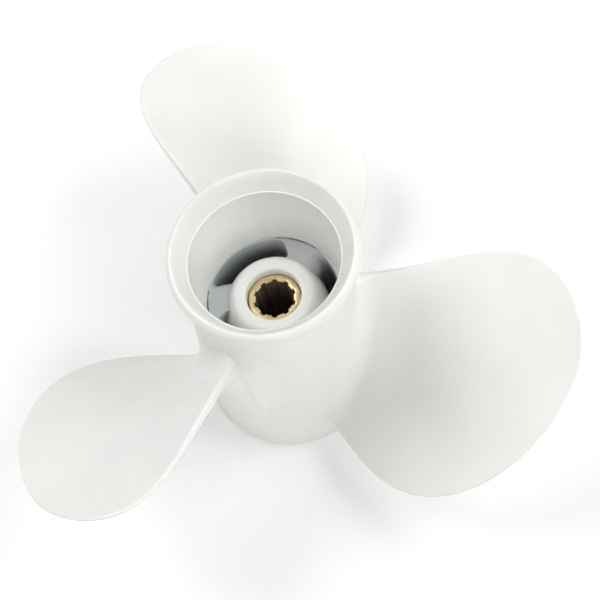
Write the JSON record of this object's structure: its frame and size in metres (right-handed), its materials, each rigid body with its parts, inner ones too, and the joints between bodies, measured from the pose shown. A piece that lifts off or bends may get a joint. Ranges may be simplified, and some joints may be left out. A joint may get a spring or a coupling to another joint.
{
  "type": "boat propeller",
  "caption": "Outboard boat propeller: cast blades on a flared through-hub exhaust barrel, with a splined brass sleeve in a rubber bush.",
  "frame": {"origin": "centre of the splined sleeve's forward face, on the shaft axis", "axes": "+Z along the shaft axis towards the flared aft end; the first blade's generator line points along +Y"},
  "size_m": [0.2285, 0.2151, 0.1108],
  "materials": {
    "painted_casting": "satin white paint on cast aluminium",
    "rubber": "matt black moulded rubber",
    "brass": "machined brass with broached splines"
  },
  "bodies": {
    "casting": {"barrel": "painted_casting", "inner_hub": "painted_casting", "web_1": "painted_casting", "web_2": "painted_casting", "web_3": "painted_casting", "blade_1": "painted_casting", "blade_2": "painted_casting", "blade_3": "painted_casting"},
    "hub_core": {"rubber_bush": "rubber", "spline_sleeve": "brass"}
  },
  "joints": [
    {"name": "bush_windup", "type": "hinge", "parent": "casting", "child": "hub_core", "pos_m": [0, 0, 0.03], "axis": [0, 0, 1], "range_deg": [-8, 8], "stiffness_Nm_per_rad": 400}
  ]
}
